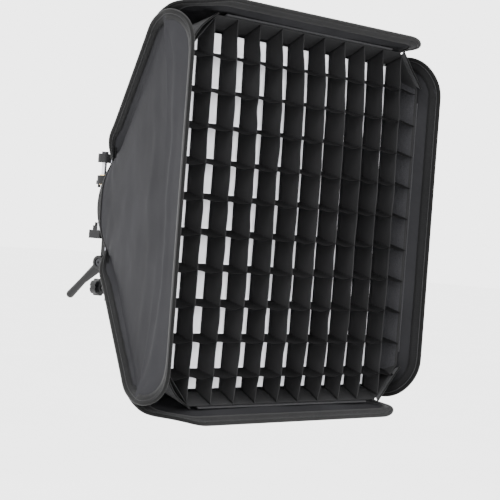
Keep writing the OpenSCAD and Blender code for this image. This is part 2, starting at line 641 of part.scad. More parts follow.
pad_y = socket_r + 0.55;
module stand_pad() color([0.72, 0.58, 0.3]) along_y(0, pad_y, screw_z) cylinder(r = 4.6, h = 2.4);
module stand_screw() color(steel) along_y(0, pad_y + 2.45, screw_z) cylinder(r = 3.97, h = 35 - pad_y);
module stand_knob() color(plastic) along_y(0, 30, screw_z) difference() {
    union() {
        cylinder(r = 8, h = 8);
        translate([0, 0, 6]) lobed_knob(14, 12, 6);
    }
    translate([0, 0, -1]) cylinder(r = 4, h = 9);
}
module umbrella_screw() color(steel) along_x(5.2, 5, umbrella_z) cylinder(r = 2.5, h = 30);
module umbrella_knob() color(plastic) along_x(30, 5, umbrella_z) difference() {
    union() {
        cylinder(r = 4.5, h = 5);
        translate([0, 0, 4]) cylinder(r = 6.6, h = 8);
    }
    translate([0, 0, -1]) cylinder(r = 2.52, h = 6.5);
    for (i = [0:11]) rotate([0, 0, 30 * i]) translate([6.9, 0, 3]) cylinder(r = 0.8, h = 10, $fn = 16);
}

on_side(0) panel();  // panel_top
on_side(1) panel();  // panel_right
on_side(2) panel();  // panel_bottom
on_side(3) panel();  // panel_left
on_side(0) lining();  // lining_top
on_side(1) lining();  // lining_right
on_side(2) lining();  // lining_bottom
on_side(3) lining();  // lining_left
on_side(0) hoop();  // hoop_top
on_side(1) hoop();  // hoop_right
on_side(2) hoop();  // hoop_bottom
on_side(3) hoop();  // hoop_left
on_side(0) binding();  // binding_top
on_side(1) binding();  // binding_right
on_side(2) binding();  // binding_bottom
on_side(3) binding();  // binding_left
corner_gussets();
hook_strips();
rear_collar();
speed_ring();
ring_clamp_plate();
ring_screws();
front_diffuser();
diffuser_hem();
grid_verticals();
grid_horizontals();
grid_border();
mount_ring();
ring_bolts();
lock_cap();
lock_spring();
lock_pin();
lock_knob();
tilt_fork();
clamp_base();
base_screws();
guide_rods();
lower_pad();
top_bridge();
bridge_screws();
screw_nut();
upper_jaw();
upper_pad();
jaw_bushes();
clamp_screw();
clamp_knob();
stand_socket();
socket_bush();
friction_washers();
pivot_bolt();
lever_insert();
lever_handle();
lever_spring();
lever_screw();
stand_pad();
stand_screw();
stand_knob();
umbrella_screw();
umbrella_knob();
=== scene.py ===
import bmesh
import bpy
import json
import math
import numpy as np
from mathutils import Matrix, Vector, noise

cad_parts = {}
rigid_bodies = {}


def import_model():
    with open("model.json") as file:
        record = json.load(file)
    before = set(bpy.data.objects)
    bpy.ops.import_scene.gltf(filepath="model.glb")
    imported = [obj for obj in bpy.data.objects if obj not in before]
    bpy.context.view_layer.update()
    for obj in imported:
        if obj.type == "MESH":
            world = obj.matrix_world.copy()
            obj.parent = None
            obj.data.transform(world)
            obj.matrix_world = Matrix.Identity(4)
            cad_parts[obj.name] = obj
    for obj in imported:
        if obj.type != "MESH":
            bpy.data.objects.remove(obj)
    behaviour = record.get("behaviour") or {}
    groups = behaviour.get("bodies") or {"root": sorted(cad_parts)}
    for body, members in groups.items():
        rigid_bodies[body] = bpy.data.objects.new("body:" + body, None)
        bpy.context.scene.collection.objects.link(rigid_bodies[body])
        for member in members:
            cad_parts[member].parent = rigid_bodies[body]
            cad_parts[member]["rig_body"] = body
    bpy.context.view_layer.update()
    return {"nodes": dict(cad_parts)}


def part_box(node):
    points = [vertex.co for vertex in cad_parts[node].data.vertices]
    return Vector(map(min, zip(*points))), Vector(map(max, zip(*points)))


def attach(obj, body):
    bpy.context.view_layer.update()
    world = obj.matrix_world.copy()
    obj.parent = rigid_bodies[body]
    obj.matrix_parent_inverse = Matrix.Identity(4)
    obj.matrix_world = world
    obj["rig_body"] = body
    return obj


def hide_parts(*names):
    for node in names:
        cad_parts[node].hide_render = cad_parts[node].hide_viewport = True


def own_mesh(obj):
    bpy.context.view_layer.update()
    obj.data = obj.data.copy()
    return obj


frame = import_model()

MM = 0.001
SIDES = ("top", "right", "bottom", "left")

# ---------------------------------------------------------------- the softbox's shape, in mm
# The same formulas as the CAD's panels: x across a panel, d the depth behind the front wires.
FRONT_HALF = 297.0
BOX_DEPTH = 350.0
FRONT_Y = -398.0
AXIS_Z = 154.0
SLOPE = 0.571
FIN_GAP = 6.0
FIN_ENDS = 2.8
FIN_D = 76.0
CLOTH_T = 1.2
CELL = 50.0
CELLS = 11                           # grid cells each way
STRIPS = CELLS - 1                   # strips each way, between the cells
RELIEF = 1.7                         # strength of the folds and puckers in the panels
LINING_GAP = 3.6                     # between a panel's inside and its lining
LINING_SIDE = 6.0                    # how far the lining's edge stays inside the seam
HOOK_DEEP, HOOK_HALF = 21.0, 200.0   # the hook-and-loop strips: depth, and half their length
STRIP_HALF_T = 0.42                  # half a grid strip's thickness
# Where the grid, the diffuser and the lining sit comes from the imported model
grid_low, grid_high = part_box("grid_border")
GRID_Y = grid_low[1] / MM
GRID_D = GRID_Y - FRONT_Y
GRID_DEEP = (grid_high[1] - grid_low[1]) / MM
DIFFUSER_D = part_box("diffuser_hem")[1][1] / MM - FRONT_Y
LINING_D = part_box("lining_top")[0][1] / MM - FRONT_Y


def corner_arc(a, b, c, r, n):
    """Points of the arc of radius r that rounds corner b."""
    a, b, c = (np.array(p, float) for p in (a, b, c))
    u, w = (a - b) / np.linalg.norm(a - b), (c - b) / np.linalg.norm(c - b)
    half = math.acos(float(u @ w)) / 2
    middle = b + (u + w) / np.linalg.norm(u + w) * r / math.sin(half)
    p, q = b + u * r / math.tan(half) - middle, b + w * r / math.tan(half) - middle
    a0 = math.atan2(p[1], p[0])
    turn = (math.atan2(q[1], q[0]) - a0 + math.pi) % (2 * math.pi) - math.pi
    return [middle + r * np.array([math.cos(a0 + turn * i / n), math.sin(a0 + turn * i / n)])
            for i in range(n + 1)]


CORNERS = ((288.0, 0.0), (266.0, 100.0), (88.0, BOX_DEPTH))
front_arc = corner_arc((0, 0), CORNERS[0], CORNERS[1], 60, 22)
side_arc = corner_arc(CORNERS[0], CORNERS[1], CORNERS[2], 130, 10)
rear_arc = corner_arc(CORNERS[1], CORNERS[2], (0, BOX_DEPTH), 80, 18)


def between(p, q, n):
    """Points strictly between p and q."""
    return [p + (q - p) * i / (n + 1) for i in range(1, n + 1)]


half_outline = (front_arc + between(front_arc[-1], side_arc[0], 3) + side_arc
                + between(side_arc[-1], rear_arc[0], 40) + rear_arc)
outline_d = np.array([p[1] for p in half_outline])
outline_w = np.array([p[0] for p in half_outline])


def middle_z(d):
    return FRONT_HALF - SLOPE * d


def seam(d):
    return 257 - 0.745 * (d - 94)


def rear_part(d):
    return max(0.0, d - 300) / 50


def edge_gap(d):
    return FIN_GAP + FIN_ENDS * (1.5 * rear_part(d) + min(1, max(0, 130 - d) / (130 - FIN_D)))


def seam_gap(d):
    return 1.5 + (edge_gap(d) - 1.5) * rear_part(d)


def wire_z(d, w):
    if d < FIN_D:
        return FRONT_HALF - (FRONT_HALF - w - FIN_GAP - FIN_ENDS) * d / FIN_D
    return w + edge_gap(d)


def panel_z(x, d, w):
    """Height above the light axis of a panel's middle surface."""
    s, g, ax, e, c = seam(d), seam_gap(d), abs(x), wire_z(d, w), middle_z(d)
    if d < 150 and s > w - 2:
        return c + (e - c) * (ax / w) ** 3
    if ax > s:
        return s + g + (e - s - g) * (ax - s) / max(w - s, 0.01)
    return c + (s + g - c) * (ax / s) ** 3


def hoop_w(d):
    return float(np.interp(d, outline_d, outline_w))


def turned(points, k):
    """Points of the top side, (x, depth behind the front, height above the axis), onto side k, in m."""
    p = np.asarray(points, float)
    c, s = ((1, 0), (0, 1), (-1, 0), (0, -1))[k]
    x, z = p[:, 0] * c + p[:, 2] * s, -p[:, 0] * s + p[:, 2] * c
    return np.stack([x, p[:, 1] + FRONT_Y, z + AXIS_Z], 1) * MM


# ---------------------------------------------------------------- materials

def node(tree, kind, **inputs):
    n = tree.nodes.new(kind)
    for name, value in inputs.items():
        n.inputs[name.replace("_", " ")].default_value = value
    return n


def new_material(name):
    m = bpy.data.materials.new(name)
    m.use_nodes = True
    m.node_tree.nodes.clear()
    shader = m.node_tree.nodes.new("ShaderNodeBsdfPrincipled")
    out = m.node_tree.nodes.new("ShaderNodeOutputMaterial")
    m.node_tree.links.new(shader.outputs[0], out.inputs[0])
    return m, m.node_tree, shader


def shade(tree, shader, dark, light, factor):
    """The base colour runs from dark to light with factor."""
    ramp = tree.nodes.new("ShaderNodeValToRGB")
    ramp.color_ramp.elements[0].position = 0.3
    ramp.color_ramp.elements[1].position = 0.7
    ramp.color_ramp.elements[0].color = (*dark, 1)
    ramp.color_ramp.elements[1].color = (*light, 1)
    tree.links.new(factor, ramp.inputs[0])
    tree.links.new(ramp.outputs[0], shader.inputs["Base Color"])


def bumps(tree, shader, *layers):
    """Chains bump nodes: each layer is (height output, strength, distance)."""
    last = None
    for height, strength, distance in layers:
        b = node(tree, "ShaderNodeBump", Strength=strength, Distance=distance)
        tree.links.new(height, b.inputs["Height"])
        if last is not None:
            tree.links.new(last, b.inputs["Normal"])
        last = b.outputs[0]
    tree.links.new(last, shader.inputs["Normal"])


def mapped(tree, rotation=(0, 0, 0), scale=(1, 1, 1)):
    coords = tree.nodes.new("ShaderNodeTexCoord")
    m = node(tree, "ShaderNodeMapping", Rotation=rotation, Scale=scale)
    tree.links.new(coords.outputs["Object"], m.inputs["Vector"])
    return m.outputs[0]


def weave(tree, period):
    """Threads both ways over a sheet of any facing; period in metres."""
    waves = []
    for turn in ((0, 0, 0.785), (0.62, 0.785, 0)):
        w = node(tree, "ShaderNodeTexWave", Scale=0.314 / period, Distortion=0.6, Detail=1.0,
                 Detail_Scale=2.0)
        w.bands_direction = "X"
        tree.links.new(mapped(tree, turn), w.inputs["Vector"])
        waves.append(w.outputs["Fac"])
    m = tree.nodes.new("ShaderNodeMath")
    m.operation = "MULTIPLY"
    tree.links.new(waves[0], m.inputs[0])
    tree.links.new(waves[1], m.inputs[1])
    return m.outputs[0]


def grain(tree, scale, detail=3.0, roughness=0.55):
    n = node(tree, "ShaderNodeTexNoise", Scale=scale, Detail=detail, Roughness=roughness)
    tree.links.new(mapped(tree), n.inputs["Vector"])
    return n.outputs["Fac"]


def cloth(name, dark, light, rough=0.8, period=0.0011, weave_bump=0.25, patch=9.0, sheen=0.04,
          wrinkle=0.25, shine=0.08):
    m, tree, shader = new_material(name)
    shader.inputs["Roughness"].default_value = rough
    shader.inputs["Sheen Weight"].default_value = sheen
    shader.inputs["Sheen Roughness"].default_value = 0.45
    shader.inputs["Specular IOR Level"].default_value = shine
    shade(tree, shader, dark, light, grain(tree, patch, 4.0))
    bumps(tree, shader, (grain(tree, 55.0, 4.0), wrinkle, 0.0012), (weave(tree, period), weave_bump, 0.0004))
    return m


def fuzzy(name, dark, light):
    m, tree, shader = new_material(name)
    shader.inputs["Roughness"].default_value = 1.0
    shader.inputs["Sheen Weight"].default_value = 0.05
    shader.inputs["Sheen Roughness"].default_value = 0.6
    shader.inputs["Specular IOR Level"].default_value = 0.05
    shade(tree, shader, dark, light, grain(tree, 900.0, 2.0))
    bumps(tree, shader, (grain(tree, 1300.0, 3.0, 0.8), 0.9, 0.0012), (grain(tree, 260.0, 2.0), 0.5, 0.001))
    return m


def moulded(name, dark, light, rough=0.5, pits=700.0, strength=0.15):
    m, tree, shader = new_material(name)
    shader.inputs["Specular IOR Level"].default_value = 0.2
    rough_noise = node(tree, "ShaderNodeMapRange", To_Min=rough - 0.08, To_Max=rough + 0.1)
    tree.links.new(grain(tree, 60.0, 3.0), rough_noise.inputs["Value"])
    tree.links.new(rough_noise.outputs[0], shader.inputs["Roughness"])
    shade(tree, shader, dark, light, grain(tree, 24.0, 3.0))
    bumps(tree, shader, (grain(tree, pits, 2.0), strength, 0.0003))
    return m


def metal(name, dark, light, rough=0.32, stretch=(6, 1, 1), scratch=0.12):
    m, tree, shader = new_material(name)
    shader.inputs["Metallic"].default_value = 1.0
    brushed = node(tree, "ShaderNodeTexNoise", Scale=420.0, Detail=3.0)
    tree.links.new(mapped(tree, scale=stretch), brushed.inputs["Vector"])
    spread = node(tree, "ShaderNodeMapRange", To_Min=rough - 0.1, To_Max=rough + 0.14)
    tree.links.new(brushed.outputs["Fac"], spread.inputs["Value"])
    tree.links.new(spread.outputs[0], shader.inputs["Roughness"])
    shade(tree, shader, dark, light, grain(tree, 30.0, 4.0))
    bumps(tree, shader, (brushed.outputs["Fac"], scratch, 0.0002))
    return m


NYLON = cloth("nylon_outside", (0.0130, 0.0130, 0.0142), (0.0180, 0.0180, 0.0196), 0.7,
              sheen=0.0, shine=0.015)
NYLON_IN = cloth("nylon_inside", (0.0078, 0.0078, 0.0085), (0.0112, 0.0112, 0.0122), 0.7,
                 sheen=0.0, shine=0.03)
TAPE = cloth("edge_tape", (0.0026, 0.0026, 0.0028), (0.0045, 0.0045, 0.0048), 0.75, 0.0016, 0.6)
TAPE_EDGE = cloth("edge_tape_roll", (0.0012, 0.0012, 0.0012), (0.0024, 0.0024, 0.0025), 0.7, 0.0014, 0.6)
PIPING = cloth("piping_thread", (0.012, 0.012, 0.0125), (0.020, 0.020, 0.021), 0.8, 0.0009, 0.7)
LOOP = fuzzy("loop_cloth", (0.0062, 0.0062, 0.0069), (0.0180, 0.0180, 0.0200))
GUSSET = fuzzy("gusset_cloth", (0.013, 0.013, 0.0138), (0.027, 0.027, 0.0285))
GRID = cloth("grid_cloth", (0.0080, 0.0080, 0.0083), (0.0120, 0.0120, 0.0124), 0.85, 0.0012, 0.35,
             shine=0.03, sheen=0.0)
# A lighter copy of the grid cloth for the upright strips' edges: painted highlight.
GRID_EDGE_HIGHLIGHT = cloth("grid_edge_painted_highlight", (0.0105, 0.0105, 0.0109), (0.0175, 0.0175, 0.0180), 0.85, 0.0012, 0.5,
                  shine=0.03, sheen=0.0)
# The level strips get a darker copy of the grid cloth: painted shade for their undersides and front edges,
# which lie in shadow.
GRID_PAINTED_SHADE = cloth("grid_cloth_painted_shade", (0.0026, 0.0026, 0.0027), (0.0044, 0.0044, 0.0046), 0.85, 0.0012, 0.35,
                   shine=0.02, sheen=0.0)
SILK = cloth("diffuser_cloth", (0.70, 0.70, 0.74), (0.82, 0.82, 0.85), 0.55, 0.0008, 0.12, shine=0.3)
PLASTIC = moulded("glass_filled_nylon", (0.0030, 0.0030, 0.0033), (0.0052, 0.0052, 0.0056), 0.52)
KNOB = moulded("knob_plastic", (0.0024, 0.0024, 0.0026), (0.0042, 0.0042, 0.0045), 0.42, 900.0)
RUBBER = moulded("pad_rubber", (0.0020, 0.0020, 0.0020), (0.0042, 0.0042, 0.0042), 0.78, 500.0, 0.3)
FIBRE = moulded("friction_fibre", (0.10, 0.045, 0.03), (0.16, 0.08, 0.05), 0.8, 400.0, 0.4)
STEEL = metal("bright_steel", (0.46, 0.46, 0.48), (0.60, 0.60, 0.62))
BLUED = metal("spring_steel", (0.20, 0.20, 0.23), (0.30, 0.30, 0.34), 0.35)
BLACK_STEEL = metal("black_oxide", (0.025, 0.025, 0.027), (0.05, 0.05, 0.053), 0.45)
BRASS = metal("brass", (0.62, 0.44, 0.20), (0.76, 0.58, 0.30), 0.28)
CAST = metal("cast_aluminium", (0.50, 0.51, 0.53), (0.64, 0.65, 0.67), 0.4, (2, 2, 2), 0.2)


def silver():
    m, tree, shader = new_material("silver_lining")
    shader.inputs["Metallic"].default_value = 0.85
    shader.inputs["Roughness"].default_value = 0.34
    v = node(tree, "ShaderNodeTexVoronoi", Scale=70.0)
    v.feature = "DISTANCE_TO_EDGE"
    tree.links.new(mapped(tree), v.inputs["Vector"])
    shade(tree, shader, (0.62, 0.63, 0.65), (0.82, 0.83, 0.85), grain(tree, 40.0, 4.0))
    bumps(tree, shader, (v.outputs["Distance"], 0.6, 0.004), (grain(tree, 180.0, 4.0), 0.35, 0.001))
    return m


SILVER = silver()

for names, material in (
        (("tilt_fork", "clamp_base", "top_bridge", "upper_jaw", "mount_ring", "stand_socket"), PLASTIC),
        (("lever_handle", "clamp_knob", "lock_knob", "stand_knob", "umbrella_knob"), KNOB),
        (("lower_pad", "upper_pad"), RUBBER),
        (("friction_washers",), FIBRE),
        (("lock_pin", "lock_cap", "guide_rods", "clamp_screw", "socket_bush", "pivot_bolt", "lever_insert",
          "stand_screw", "umbrella_screw"), STEEL),
        (("hoop_top", "hoop_right", "hoop_bottom", "hoop_left"), BLUED),
        (("ring_clamp_plate", "ring_screws", "ring_bolts", "base_screws", "bridge_screws", "lever_screw"),
         BLACK_STEEL),
        (("screw_nut", "jaw_bushes", "stand_pad"), BRASS),
        (("speed_ring",), CAST)):
    for name in names:
        o = frame["nodes"][name]
        if not o.data.materials:
            o.data.materials.append(material)
        for i in range(len(o.data.materials)):
            o.data.materials[i] = material


# ---------------------------------------------------------------- mesh helpers

new_pieces = []


def add_piece(name, verts, faces, materials, body, face_slots=None):
    """A new smooth-shaded mesh that rides on a body; face_slots picks each face's material."""
    mesh = bpy.data.meshes.new(name)
    mesh.from_pydata([tuple(map(float, v)) for v in verts], [], faces)
    mesh.update()
    for m in materials:
        mesh.materials.append(m)
    if face_slots is not None:
        mesh.polygons.foreach_set("material_index", face_slots)
    mesh.polygons.foreach_set("use_smooth", [True] * len(mesh.polygons))
    o = bpy.data.objects.new(name, mesh)
    bpy.context.scene.collection.objects.link(o)
    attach(o, body)
    new_pieces.append(o)
    return o


def grid_faces(rows, cols, start=0, flip=False):
    out = []
    for i in range(rows - 1):
        for j in range(cols - 1):
            a = start + i * cols + j
            f = (a, a + cols, a + cols + 1, a + 1)
            out.append(f[::-1] if flip else f)
    return out


def slab(outer, inner, rows, cols):
    """A closed sheet from two matching grids of points: its vertices and faces."""
    n = rows * cols
    verts = np.concatenate([outer, inner])
    faces = grid_faces(rows, cols) + grid_faces(rows, cols, n, True)
    rim = [j for j in range(cols - 1)]
    rim += [i * cols + cols - 1 for i in range(rows - 1)]
    rim += [(rows - 1) * cols + j for j in range(cols - 1, 0, -1)]
    rim += [i * cols for i in range(rows - 1, 0, -1)]
    for a, b in zip(rim, rim[1:] + rim[:1]):
        faces.append((a, b, b + n, a + n))
    return verts, faces


def sweep(rings):
    """A closed tube through closed rings of points, itself closed in a loop."""
    n, m = len(rings), len(rings[0])
    verts = np.concatenate(rings)
    faces = [(i * m + j, i * m + (j + 1) % m, ((i + 1) % n) * m + (j + 1) % m, ((i + 1) % n) * m + j)
             for i in range(n) for j in range(m)]
    return verts, faces


def soft_noise(x, y, z, seed):
    return noise.noise(Vector((x + seed * 17.3, y - seed * 5.1, z + seed * 3.7)))


# ---------------------------------------------------------------- panels of nylon

def ridge(t, at, width):
    return math.exp(-((t - at) / width) ** 2)


def panel_relief(x, d, w, k):
    """How far the cloth stands out of its smooth shape, in mm."""
    edge = min(w - abs(x), d, BOX_DEPTH - d) / 20
    inside = 1 - math.exp(-max(0.0, edge) ** 2)
    body = math.exp(-((x / 230) ** 4))
    out = 0.0
    # Folds that run across the panel behind the front edge, where the hoop was twisted
    wander = 9 * soft_noise(x / 90, 0, 0, k)
    out += 1.5 * ridge(d, 47 + wander, 7) - 1.1 * ridge(d, 66 + wander, 9)
    out += 0.9 * ridge(d, 118 + 1.6 * wander + x * 0.02, 13) - 0.7 * ridge(d, 205 - 1.3 * wander, 22)
    out += 1.3 * soft_noise(x / 85, d / 60, 0, k + 3) + 0.5 * soft_noise(x / 30, d / 24, 1, k + 7)
    # Tension folds that fan out of the corners
    for s in (-1, 1):
        dx, dd = s * x - 262, d - 74
        r = math.hypot(dx, dd) + 1
        a = math.degrees(math.atan2(dd, -dx))
        out += 1.6 * math.exp(-r / 75) * math.sin(a / 6.5 + 2 * k + s)
        dx, dd = s * x - 80, d - 330
        r = math.hypot(dx, dd) + 1
        a = math.degrees(math.atan2(-dd, -dx))
        out += 1.0 * math.exp(-r / 70) * math.sin(a / 7 + k - s)
    # Small puckers along the stitching
    along = x + 1.1 * d
    phase = along / 2.6 + 3 * soft_noise(along / 20, 0, 0, k)
    out += 0.45 * math.exp(-max(0.0, edge * 20 - 6) / 9) * math.sin(phase)
    return RELIEF * out * inside * (0.35 + 0.65 * body)


def panel_piece(k):
    rows_w = [(float(w), float(d)) for w, d in half_outline]
    cols = 150
    top, low = [], []
    for w, d in rows_w:
        q = 4 + d * (1 - 8 / BOX_DEPTH)
        half = w - 4.4
        for j in range(cols + 1):
            u = 2 * j / cols - 1
            x = half * u
            e = 0.5
            gx = (panel_z(x + e, q, w) - panel_z(x - e, q, w)) / (2 * e)
            gd = -SLOPE if abs(x) < seam(q) else -0.745
            n = np.array([-gx, -gd, 1.0])
            n /= np.linalg.norm(n)
            p = np.array([x, q, panel_z(x, q, w)])
            r = panel_relief(x, q, w, k)
            if abs(x) > seam(q) - 12:
                r = min(r, 0.0) * 0.3
            top.append(p + n * (r + CLOTH_T / 2))
            low.append(p + n * (r - CLOTH_T / 2))
    rows = len(rows_w)
    verts, faces = slab(turned(top, k), turned(low, k), rows, cols + 1)
    n_top = (rows - 1) * cols
    slots = [0] * n_top + [1] * n_top + [0] * (len(faces) - 2 * n_top)
    o = add_piece(f"cloth_{SIDES[k]}", verts, faces, [NYLON, NYLON_IN], "head", slots)
    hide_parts(f"panel_{SIDES[k]}")
    return o


# ---------------------------------------------------------------- edge tape round each hoop

def loop_points():
    w0, w1 = half_outline[0][0], half_outline[-1][0]
    plan = [np.array([x, 0.0]) for x in np.linspace(0, w0, 60)[:-1]]
    plan += list(half_outline)
    plan += [np.array([x, BOX_DEPTH]) for x in np.linspace(w1, 0, 12)[1:]]
    plan += [np.array([-p[0], p[1]]) for p in plan[-2:0:-1]]
    return plan


def spring_piece(name, node_name, axis, anchor_end, turns, wire):
    """A coil of round wire that fills a CAD spring's box."""
    low, high = (np.array(v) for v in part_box(node_name))
    centre = (low + high) / 2
    across = [i for i in range(3) if i != axis]
    radius = (high - low)[across[0]] / 2 - wire
    length = (high - low)[axis] - 2 * wire
    steps, sides = 28 * turns, 10
    rings = []
    for i in range(steps + 1):
        a = 2 * math.pi * turns * i / steps
        along = low[axis] + wire + length * i / steps
        ring = []
        for b in np.arange(sides) * 2 * math.pi / sides:
            p = centre.copy()
            q = radius + wire * math.cos(b)
            p[across[0]] += q * math.cos(a)
            p[across[1]] += q * math.sin(a)
            p[axis] = along + wire * math.sin(b)
            ring.append(p)
        rings.append(ring)
    verts = np.concatenate(rings)
    faces = []
    for i in range(steps):
        this, after = i * sides, (i + 1) * sides
        faces += [(this + j, this + (j + 1) % sides, after + (j + 1) % sides, after + j)
                  for j in range(sides)]
    faces += [tuple(range(sides))[::-1], tuple(steps * sides + j for j in range(sides))]
    o = add_piece(name, verts, faces, [BLUED], frame["nodes"][node_name]["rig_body"])
    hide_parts(node_name)
    anchor = centre.copy()
    anchor[axis] = (low, high)[anchor_end][axis]
    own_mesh(o)


def wire_frames():
    """For each point round the hoop: its place, the way out of the panel and the way across."""
    plan = loop_points()
    n = len(plan)
    p = np.array([[q[0], q[1], FRONT_HALF if q[1] < 1e-6 else panel_z(q[0], q[1], abs(q[0]))] for q in plan])
    for _ in range(4):
        p = (np.roll(p, 1, 0) + 2 * p + np.roll(p, -1, 0)) / 4
    tangent = np.roll(p, -1, 0) - np.roll(p, 1, 0)
    tangent /= np.linalg.norm(tangent, axis=1)[:, None]
    up = []
    for i, q in enumerate(plan):
        flat = plan[(i + 1) % n] - plan[i - 1]
        side = np.array([-flat[1], flat[0]]) / np.linalg.norm(flat)
        if side @ (np.array([0, 150.0]) - q) < 0:
            side = -side
        b = q + 8 * side
        inner = np.array([b[0], b[1], panel_z(b[0], b[1], hoop_w(b[1]))])
        u = np.cross(p[i] - inner, tangent[i])
        u /= np.linalg.norm(u)
        up.append(u if u[2] > 0 else -u)
    up = np.array(up)
    for _ in range(30):
        up = np.roll(up, 1, 0) + 2 * up + np.roll(up, -1, 0)
        up /= np.linalg.norm(up, axis=1)[:, None]
    out = np.cross(up, tangent)
    out /= np.linalg.norm(out, axis=1)[:, None]
    centre = np.array([0, 160.0, 200.0])
    if (out[0] @ (p[0] - centre)) < 0:
        out = -out
    up = np.cross(tangent, out)
    if up[0][2] < 0:
        up = -up
    return plan, p, out, up


TAPE_OUT = 12.0     # how far the tape reaches into the panel outside the box
TAPE_IN = 17.0      # and inside the box, where it is wider


def tape_profile(out_leg, in_leg):
    """Section of the tape folded round the wire: a round cap with a leg on each side of the panel."""
    cap = [(2.75 * math.cos(a), 2.75 * math.sin(a)) for a in np.linspace(-1.9, 1.9, 13)]
    below = [(-in_leg, -0.75), (-in_leg, -1.35), (-in_leg * 0.75, -1.5), (-in_leg * 0.5, -1.6),
             (-4.6, -1.8), (-3.2, -2.05)]
    above = [(-3.2, 2.05), (-4.6, 1.8), (-out_leg * 0.6, 1.6), (-out_leg, 1.35), (-out_leg, 0.75)]
    inside = [(-4.4, 0.75), (-3.4, 0.3), (-3.4, -0.3), (-4.4, -0.75)]
    return below + cap + above + inside


def tape_piece(k, plan, p, out, up):
    rings = []
    m = len(tape_profile(1, 1))
    for i, q in enumerate(plan):
        short = 1 - 0.5 * rear_part(q[1])
        ripple = 0.18 * math.sin(i * 1.7 + k) + 0.25 * soft_noise(i / 6, 0, 0, k)
        profile = tape_profile(max(5, TAPE_OUT * short + ripple), max(5, TAPE_IN * short + ripple))
        rings.append(np.array([p[i] + out[i] * a + up[i] * (b + (0.12 * ripple if abs(a) > 5 else 0))
                               for a, b in profile]))
    verts, faces = sweep(rings)
    slots = [1 if 5 <= j <= 18 else 0 for j in range(m)] * len(rings)
    o = add_piece(f"edge_tape_{SIDES[k]}", turned(verts, k), faces, [TAPE, TAPE_EDGE], "head",
                  slots)
    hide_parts(f"binding_{SIDES[k]}")
    rings = []
    for side in (1, -1):
        part = []
        for i in range(len(plan)):
            c = p[i] - out[i] * 4.0 + up[i] * side * 2.0
            part.append(np.array([c + 0.55 * (out[i] * math.cos(a) + up[i] * math.sin(a))
                                  for a in np.arange(6) * math.pi / 3]))
        rings.append(part)
    verts, faces = [], []
    for part in rings:
        v, f = sweep(part)
        faces += [tuple(x + sum(len(w) for w in verts) for x in g) for g in f]
        verts.append(v)
    t = add_piece(f"piping_{SIDES[k]}", turned(np.concatenate(verts), k), faces, [PIPING], "head")
    return o, t


# ---------------------------------------------------------------- silver lining

def lining_piece(k):
    rows, cols = 90, 110
    d0, d1 = LINING_D, BOX_DEPTH - 14
    outer, inner = [], []
    for i in range(rows):
        d = d0 + (d1 - d0) * i / (rows - 1)
        w = seam(d) - LINING_SIDE
        for j in range(cols):
            x = w * (2 * j / (cols - 1) - 1)
            z = panel_z(x, d, seam(d) + 14) - CLOTH_T / 2 - LINING_GAP
            r = 1.3 * soft_noise(x / 22, d / 22, 0, k + 20) + 0.9 * abs(soft_noise(x / 9, d / 9, 2, k + 30))
            outer.append((x, d, z - r))
            inner.append((x, d, z - r - 0.5))
    verts, faces = slab(turned(outer, k), turned(inner, k), rows, cols)
    o = add_piece(f"lining_cloth_{SIDES[k]}", verts, faces, [SILVER], "head")
    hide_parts(f"lining_{SIDES[k]}")


# ---------------------------------------------------------------- corner gussets

GUSSET_A, GUSSET_B, GUSSET_TIP = (224.0, 23.0, 278.0), (278.0, 23.0, 224.0), (250.0, 70.0, 250.0)


def gusset_pieces():
    n = 22
    out_v, out_f = [], []
    tape_v, tape_f = [], []
    for k in range(4):
        a, b, c = (np.array(p) for p in (GUSSET_A, GUSSET_B, GUSSET_TIP))
        normal = np.array([1, 0, 1]) / math.sqrt(2)
        outer, inner = [], []
        for i in range(n):
            t = i / (n - 1)
            for j in range(n):
                u = j / (n - 1)
                left, right = a + (c - a) * t, b + (c - b) * t
                p = left + (right - left) * u
                belly = 5.0 * math.sin(math.pi * u) * (1 - t) - 1.0
                wave = 0.8 * soft_noise(p[0] / 12, p[1] / 12, k, 41)
                p = p - normal * (wave * math.sin(math.pi * u) - belly * 0.9)
                p[1] += 4.5 * math.sin(math.pi * u) * (1 - t) ** 2
                outer.append(p + normal * 0.4)
                inner.append(p - normal * 0.5)
        verts, faces = slab(turned(outer, k), turned(inner, k), n, n)
        start = sum(len(v) for v in out_v)
        out_f += [tuple(x + start for x in f) for f in faces]
        out_v.append(verts)
        edge = [outer[j] * 0.5 + inner[j] * 0.5 for j in range(n)]
        ring = []
        for j in range(n):
            t = edge[min(j + 1, n - 1)] - edge[max(j - 1, 0)]
            t = t / np.linalg.norm(t)
            s = np.cross(t, normal)
            s /= np.linalg.norm(s)
            ring.append([edge[j] + s * (1.6 * math.cos(q)) + normal * (1.1 * math.sin(q))
                         for q in np.arange(8) * math.pi / 4])
        v = turned(np.concatenate(ring), k)
        start = sum(len(w) for w in tape_v)
        tape_f += [(start + i * 8 + j, start + i * 8 + (j + 1) % 8, start + (i + 1) * 8 + (j + 1) % 8,
                    start + (i + 1) * 8 + j) for i in range(n - 1) for j in range(8)]
        tape_f.append(tuple(start + j for j in range(7, -1, -1)))
        tape_f.append(tuple(start + (n - 1) * 8 + j for j in range(8)))
        tape_v.append(v)
    o = add_piece("gusset_cloth", np.concatenate(out_v), out_f, [GUSSET], "head")
    t = add_piece("gusset_tape", np.concatenate(tape_v), tape_f, [TAPE_EDGE], "head")
    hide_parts("corner_gussets")
    a, b, c = (np.array(p) for p in (GUSSET_A, GUSSET_B, GUSSET_TIP))


# ---------------------------------------------------------------- hook-and-loop strips in the mouth

